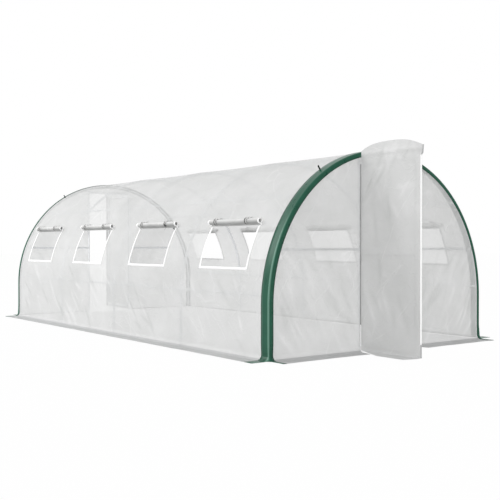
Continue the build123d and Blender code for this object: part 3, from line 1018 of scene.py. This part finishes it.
def trim_strip(roof_cut):
    """One trim, with its wide side as broad as asked, wrapped over the front arch."""
    strip = flat_cut(-trim_end, trim_end, -trim_front_cut, roof_cut, trim_cell)
    for share in (-1.5, -1, -0.5, 0, 0.5, 1, 1.5):
        score(strip, y=share * corner_run)
    for side in (-1, 1):
        score(strip, x=side * skirt_start)
        score(strip, x=side * trim_parting)
        for share in (0.33, 0.66, 1.0):
            score(strip, x=side * (trim_parting + share * (skirt_start + bend_run - trim_parting)))
    keep_cut(strip)
    parting = [edge for edge in strip.edges if all(abs(vert.co.y) < 1e-6 for vert in edge.verts)
               and min(abs(vert.co.x) for vert in edge.verts) > trim_parting - 1e-6]
    bmesh.ops.split_edges(strip, edges=parting)
    hang(strip, trim_place)
    return strip


trims = {"front": (trim_side_cut, trim_strip(trim_side_cut)),
         "rear": (trim_rear_cut, half_turned(trim_strip(trim_rear_cut)))}
for end, (roof_cut, strip) in trims.items():
    made = to_piece(strip, end + "_trim_strip", "tunnel", "green_trim", trim_film)
    thicken(made, trim_wall)
    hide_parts(end + "_trim")

# %% [markdown]
# Each window opening is edged with white tape on three sides. The tape is cut as a frame with
# its top side missing and laps over the opening's edge. It is laid on the cover by the same
# function that hangs the cover, a millimetre higher, so it follows each sag and fold.

# %% Window bindings
binding_width = 0.017
binding_inside = 0.008
binding_cell = 0.011
binding_lift = 0.0024


def binding_cut(side, centre):
    """The flat cut of one window's binding."""
    half = window_width / 2
    low = min(side * head_run, side * (sill_run + binding_width))
    high = max(side * head_run, side * (sill_run + binding_width))
    reach = half + binding_width
    mesh = flat_cut(low, high, centre - reach, centre + reach, binding_cell)
    inner = half - binding_inside
    foot = sill_run - binding_inside
    score(mesh, x=side * foot)
    score(mesh, y=centre - inner)
    score(mesh, y=centre + inner)
    cut_out(mesh, lambda middle: abs(middle.x) < foot and abs(middle.y - centre) < inner)
    return mesh


for name, side in sides.items():
    for number, centre in enumerate(window_centres, 1):
        binding = binding_cut(side, centre)
        keep_cut(binding)
        hang(binding, lambda vert: on_cover(vert.co.x, vert.co.y, binding_lift))
        made = to_piece(binding, f"window_tape_{name}_{number}", "tunnel", "white_binding",
                        white_tape)
        thicken(made, tape_wall)
    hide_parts("window_bindings_" + name)

# %% [markdown]
# Above each opening hangs its flap, rolled up from its foot. It is cut flat and rolled for
# real: the cut's length becomes the length of a spiral, so that the ends show the turns. The roll
# is pinched where the ties hold it, sags a little between them and its turns slip sideways. Its
# underside is painted darker and its top paler by the way each turn faces: painted shade and
# light. The inner turns wear a darker film, painted shade in the roll's core.

# %% Rolled window flaps
roll_radius = 0.028
roll_core = 0.005
roll_turns = 4.5
roll_half = 0.43
tie_reach = 0.260         # half the distance between a roll's two ties
tie_shift = 0.040
roll_lead = 0.014
roll_inset = 0.020        # the inner turns end short of the outer one
roll_pitch = (roll_radius - roll_core) / roll_turns
roll_length = math.pi * (roll_radius**2 - roll_core**2) / roll_pitch
roll_start = math.radians(-45)
roll_stand = 0.0316
roll_up = 0.029
roll_droop = 0.004
roll_slip = 0.007
pinch_reach = 0.022
pinch_depth = 0.10
# painted shade: the inner turns get the darker film
core_from = 0.30          # the turns past this length of the cut lie in shade
end_hem = 0.024           # white tape at both ends of the outermost turn
painted_shade_level = 0.4          # shifts all marks up, so that only the underside is dark


def roll_middle(side, centre, y):
    """Centre of the roll: place (x, z), the way out of the wall and the way down it."""
    x, z, out_x, out_z = vault_line(side * (head_run - roll_up))
    slack = 0.5 * sinking(side * head_run, centre)
    off_middle = (y - centre + side * tie_shift) / tie_reach
    droop = roll_droop * max(0.0, 1 - off_middle**2)
    down_x, down_z = side * out_z, -abs(out_x)
    stand = roll_stand - slack
    middle = Vector((x + out_x * stand, z + out_z * stand - droop))
    return middle, Vector((out_x, out_z)), Vector((down_x, down_z))


def tie_places(side):
    """Where the two ties are, from the middle of the window."""
    return -side * tie_shift - tie_reach, -side * tie_shift + tie_reach


def squashed(side, y, centre):
    """How the roll's radius changes along it: pinched at the ties and full between them."""
    pinch = sum(math.exp(-((y - centre - place) / pinch_reach) ** 2)
                for place in tie_places(side))
    return 1 - pinch_depth * pinch + 0.025 * noise.noise(Vector((y * 9, centre * 3, 1.0)))


def on_roll(side, centre, y, turn, radius):
    """A point of the roll; a turn of 0 is down the wall and a quarter turn is out of it."""
    middle, out, down = roll_middle(side, centre, y)
    dent = 1 + 0.045 * noise.noise(Vector((y * 5, turn * 0.9, centre * 2)))
    reach = radius * dent * squashed(side, y, centre)
    spot = middle + (down * math.cos(turn) + out * math.sin(turn)) * reach
    return Vector((spot.x, y, spot.y))


def spiral(length):
    """Radius and turn of the rolled flap at a distance from its seam."""
    rolled = min(max(0.0, length - roll_lead), roll_length)
    left = roll_radius**2 - roll_pitch * rolled / math.pi
    radius = math.sqrt(max(roll_core**2, left))
    return radius, roll_start + (roll_radius - radius) / roll_pitch * 2 * math.pi


def roll_place(side, centre, length, y):
    """The place of a point of the flat flap, by its distance from the seam."""
    if length < roll_lead:
        share = length / roll_lead
        seam = on_cover(side * head_run, y, 0.0012)
        return seam.lerp(on_roll(side, centre, y, roll_start, roll_radius), share)
    radius, turn = spiral(length)
    slip = roll_slip * noise.noise(Vector((turn * 0.35, centre * 5, 2.0)))
    drawn_in = roll_inset * smooth((roll_radius - radius) / (2.5 * roll_pitch))
    return on_roll(side, centre, y + slip - (y - centre) / roll_half * drawn_in, turn, radius)


flap_cut = roll_lead + roll_length
flap_cell = 0.0068
flap_rows = 36
flap_wall = 0.0032
print("a flap is", 2 * roll_half, "m by", round(flap_cut, 3), "m, rolled", roll_turns, "times")

for name, side in sides.items():
    for number, centre in enumerate(window_centres, 1):
        flap = flat_cut(0, flap_cut, centre - roll_half, centre + roll_half,
                        flap_cell, flap_rows)
        keep_cut(flap)
        # painted shade on each turn's underside and painted light on its top, by the way it faces
        painted_shade = flap.verts.layers.float.new("fold")
        for vert in flap.verts:
            vert[painted_shade] = painted_shade_level - math.cos(spiral(vert.co.x)[1])
        for face in flap.faces:
            middle = face.calc_center_median()
            at_end = abs(middle.y - centre) > roll_half - end_hem
            outer = middle.x < roll_lead + 2 * math.pi * roll_radius
            face.material_index = 1 if middle.x > core_from else (2 if at_end and outer else 0)
        hang(flap, lambda vert: roll_place(side, centre, vert.co.x, vert.co.y))
        bmesh.ops.recalc_face_normals(flap, faces=flap.faces)
        made = to_piece(flap, f"window_flap_{name}_{number}", "tunnel", "rolled_flap",
                        flap_film, painted_core_shade, white_tape)
        thicken(made, flap_wall)
        if number == 1:
            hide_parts("window_rolls_" + name)

# %% [markdown]
# Two ties hold each roll. A tie is a tape sewn to the cover above the roll: it comes down over
# the roll's outer side, round its underside and back behind it, where its end is tucked in. On
# the left side, one tie's end at the second window has slipped out and hangs below the roll.

# %% Ties
tie_width = 0.028
tie_wall = 0.0016
tie_tab = 0.035
tie_radius = roll_radius + 0.0022
tie_length = 0.26
tie_lead = 0.15             # share of the tie from its seam to the roll
tie_from = math.radians(200)
tie_to = math.radians(-95)
tie_rows = 3
tie_cell = 1 / 44           # of the tie's length


def tie_line(side, centre, y, share):
    """A point of a tie, from its seam on the cover at 0, round the roll, to behind it at 1."""
    if share < tie_lead:
        seam = on_cover(side * (head_run - 2 * roll_up - tie_tab), y, 0.002)
        edge = on_roll(side, centre, y, tie_from, tie_radius * 1.02)
        return seam.lerp(edge, share / tie_lead)
    turn = tie_from + (tie_to - tie_from) * (share - tie_lead) / (1 - tie_lead)
    slack = 1.09 + 0.14 * max(0.0, math.sin(turn))
    return on_roll(side, centre, y, turn, tie_radius * (slack if share < 0.97 else 1.03))


def tie_strip(side, centre, place):
    """One tie as a thin tape round its roll."""
    mesh = flat_cut(0, 1, -tie_width / 2, tie_width / 2, tie_cell, tie_rows)
    keep_cut(mesh, (tie_length, -side))
    hang(mesh, lambda vert: tie_line(side, centre, centre + place + vert.co.y, vert.co.x))
    bmesh.ops.recalc_face_normals(mesh, faces=mesh.faces)
    return mesh


def join(target, source):
    """Adds one mesh to another and frees it."""
    data = bpy.data.meshes.new("part")
    source.to_mesh(data)
    source.free()
    target.from_mesh(data)
    bpy.data.meshes.remove(data)


def loose_tail(side, centre, place):
    """A tail that has slipped out under the roll and hangs at its end."""
    middle, out, down = roll_middle(side, centre, centre + place)
    points = [(0.034, 0.022, 0.0), (0.040, 0.038, 0.04),      # out of the wall, down, along
              (0.038, 0.052, 0.09), (0.032, 0.092, 0.075)]
    mesh = flat_cut(0, 3, 0.004, 0.016, 0.25)

    def place_tail(vert):
        """The place of a point of the tail on the line through those points."""
        index = min(2, int(vert.co.x))
        share = vert.co.x - index
        off, low, along = [a + (b - a) * share for a, b in zip(points[index], points[index + 1])]
        spot = middle + out * off + down * (low + vert.co.y - 0.010)
        return Vector((spot.x, centre + place + side * along, spot.y))

    keep_cut(mesh)
    hang(mesh, place_tail)
    return mesh


for name, side in sides.items():
    ties = bmesh.new()
    for centre in window_centres:
        for place in tie_places(side):
            join(ties, tie_strip(side, centre, place))
    made = to_piece(ties, "flap_ties_" + name, "tunnel", "rolled_flap", tie_tape)
    thicken(made, tie_wall)
    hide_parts("roll_ties_" + name)

tail = loose_tail(-1, window_centres[1], tie_places(-1)[0])
thicken(to_piece(tail, "loose_tail", "tunnel", "rolled_flap", tie_tape), tie_wall)

# %% [markdown]
# The webbing loops at the back edge of the trim take a guy rope. Each is a short tape folded in
# two, with its ends sewn under the trim and its fold standing up.

# %% Webbing loops
loop_turn = math.radians(58)
loop_height = 0.044
loop_gap = 0.0034
loop_width = 0.012
loop_back = half_length - 0.105
loop_lift = 0.0004
loop_wall = 0.0016
loop_length = 0.1
loop_rows = 2
loop_cell = 1 / 26          # of the loop's length


def loop_line(share):
    """Across the fold and up it, for a share of the tape's length from one foot to the other."""
    leg = loop_height - loop_gap
    long = 2 * leg + math.pi * loop_gap
    run = share * long
    if run < leg:
        return -loop_gap, run
    if run > long - leg:
        return loop_gap, long - run
    turn = (run - leg) / loop_gap
    return -loop_gap * math.cos(turn), leg + loop_gap * math.sin(turn)


def loop_strip(side, end):
    """One loop, with its two feet on the cover."""
    mesh = flat_cut(0, 1, -loop_width / 2, loop_width / 2, loop_cell, loop_rows)
    keep_cut(mesh, (loop_length, 1))
    seat = cover_radius + (trim_lift if end < 0 else 0.0) + loop_lift
    out = Vector((side * math.cos(loop_turn), 0, math.sin(loop_turn)))
    sideways = Vector((-side * math.sin(loop_turn), 0, math.cos(loop_turn)))

    def place(vert):
        """The place of a point of the tape, by its share of the way from foot to foot."""
        across, up = loop_line(vert.co.x)
        middle = Vector((0, end * loop_back, leg_height)) + out * (seat + up)
        return middle + Vector((0, across, 0)) + sideways * vert.co.y

    hang(mesh, place)
    bmesh.ops.recalc_face_normals(mesh, faces=mesh.faces)
    return mesh


loops = bmesh.new()
for side in (-1, 1):
    for end in (-1, 1):
        join(loops, loop_strip(side, end))
loop_piece = to_piece(loops, "guy_loop_tapes", "tunnel", "dark_webbing", loop_webbing)
thicken(loop_piece, loop_wall)
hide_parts("guy_loops")

# %% [markdown]

# %% [markdown]
# The stage: a plain floor, a white world and soft lamps. The world is plain white for the
# camera, and dimmer for the object. A broad lamp from behind and to the left brightens the long
# wall and the roof and leaves the front end in open shade, as in the photograph. The floor is
# nearly white to the camera too, but only half so where the tunnel stands, because film shows
# what is behind it and a white ground would shine through.

# %% Floor, world and lamps
bpy.context.scene.view_settings.view_transform = "Standard"
ambient_level = 0.675
floor_half = 90
white_inside = 0.50
white_outside = 0.985


def seen_ray(tree):
    """One for rays that the camera, gloss or glass sends straight to a surface."""
    path = add(tree, "ShaderNodeLightPath").outputs
    either = add(tree, "ShaderNodeMath", {0: path["Is Camera Ray"], 1: path["Is Glossy Ray"]},
                 operation="MAXIMUM")
    return add(tree, "ShaderNodeMath", {0: either, 1: path["Is Transmission Ray"]},
               operation="MAXIMUM")


world = bpy.data.worlds.new("studio")
bpy.context.scene.world = world
world.use_nodes = True
sky = world.node_tree
sky.nodes.clear()
ambient = add(sky, "ShaderNodeBackground", {"Color": tint("FFFFFF"), "Strength": ambient_level})
backdrop = add(sky, "ShaderNodeBackground", {"Color": tint("FFFFFF"), "Strength": 1.0})
mixed = add(sky, "ShaderNodeMixShader", {0: seen_ray(sky), 1: ambient, 2: backdrop})
add(sky, "ShaderNodeOutputWorld", {"Surface": mixed})

floor_material, floor_tree, floor_output = new_material("pale_floor")
floor_tone = add(floor_tree, "ShaderNodeBsdfDiffuse", {"Color": tint("E4E4E4")})
floor_white = add(floor_tree, "ShaderNodeEmission", {"Color": tint("FFFFFF"), "Strength": 1.0})
floor_place = add(floor_tree, "ShaderNodeTexCoord").outputs["Object"]
tunnel_half = (cover_radius, half_length, 1.0)
shares = add(floor_tree, "ShaderNodeVectorMath", {0: floor_place, 1: tunnel_half},
             operation="DIVIDE")
off_middle = add(floor_tree, "ShaderNodeVectorMath", {0: shares}, operation="ABSOLUTE")
ways = add(floor_tree, "ShaderNodeSeparateXYZ", {0: off_middle}).outputs
farthest = add(floor_tree, "ShaderNodeMath", {0: ways["X"], 1: ways["Y"]}, operation="MAXIMUM")
white_part = add(floor_tree, "ShaderNodeMapRange",
                 {0: farthest, 1: 0.99, 2: 1.01, 3: white_inside, 4: white_outside})
floor_share = add(floor_tree, "ShaderNodeMath", {0: seen_ray(floor_tree), 1: white_part},
                  operation="MULTIPLY")
floor_mix = add(floor_tree, "ShaderNodeMixShader", {0: floor_share, 1: floor_tone, 2: floor_white})
floor_tree.links.new(floor_mix.outputs[0], floor_output.inputs["Surface"])
floor_mesh = bmesh.new()
bmesh.ops.create_grid(floor_mesh, x_segments=1, y_segments=1, size=floor_half)
floor_data = bpy.data.meshes.new("floor")
floor_mesh.to_mesh(floor_data)
floor_mesh.free()
floor_data.materials.append(floor_material)
floor = bpy.data.objects.new("floor", floor_data)
bpy.context.collection.objects.link(floor)
floor.location.z = -0.001


def hang_lamp(name, data, place, aim):
    """Puts a lamp at a place and points it at another."""
    lamp = bpy.data.objects.new(name, data)
    bpy.context.collection.objects.link(lamp)
    lamp.location = place
    lamp.rotation_euler = (Vector(aim) - Vector(place)).to_track_quat("-Z", "Y").to_euler()


softbox = bpy.data.lights.new("softbox", "AREA")
softbox.shape = "SQUARE"
softbox.size = 9.0
softbox.energy = 1080
hang_lamp("softbox", softbox, (-11.0, 8.5, 10.5), (-1.0, 0.0, 1.0))

# a small lamp low in front, only for the satin light along the trim's corner
glint = bpy.data.lights.new("glint", "SUN")
glint.energy = 0.6
glint.angle = math.radians(5)
hang_lamp("glint", glint, (-7.5, -6.5, 0.75), (0.0, 0.0, 0.4))

# %% [markdown]
# The camera stands where the photograph was taken from: about ten metres off, left of the front
# end, a little over a metre up and almost level. Its place and lens were fitted to the outline
# of the tunnel in the picture of 500 by 500 pixels.

# %% Camera
picture = 500
focal_pixels = 814.7
camera_place = (-6.0431, -8.7279, 1.0489)
camera_turn = 0.6469
camera_tilt = -0.0059
camera_data = bpy.data.cameras.new("camera")
camera_data.sensor_width = 36
camera_data.lens = focal_pixels / picture * camera_data.sensor_width
camera = bpy.data.objects.new("camera", camera_data)
camera.location = camera_place
camera.rotation_euler = (math.pi / 2 + camera_tilt, 0, -camera_turn)
bpy.context.collection.objects.link(camera)
bpy.context.scene.camera = camera
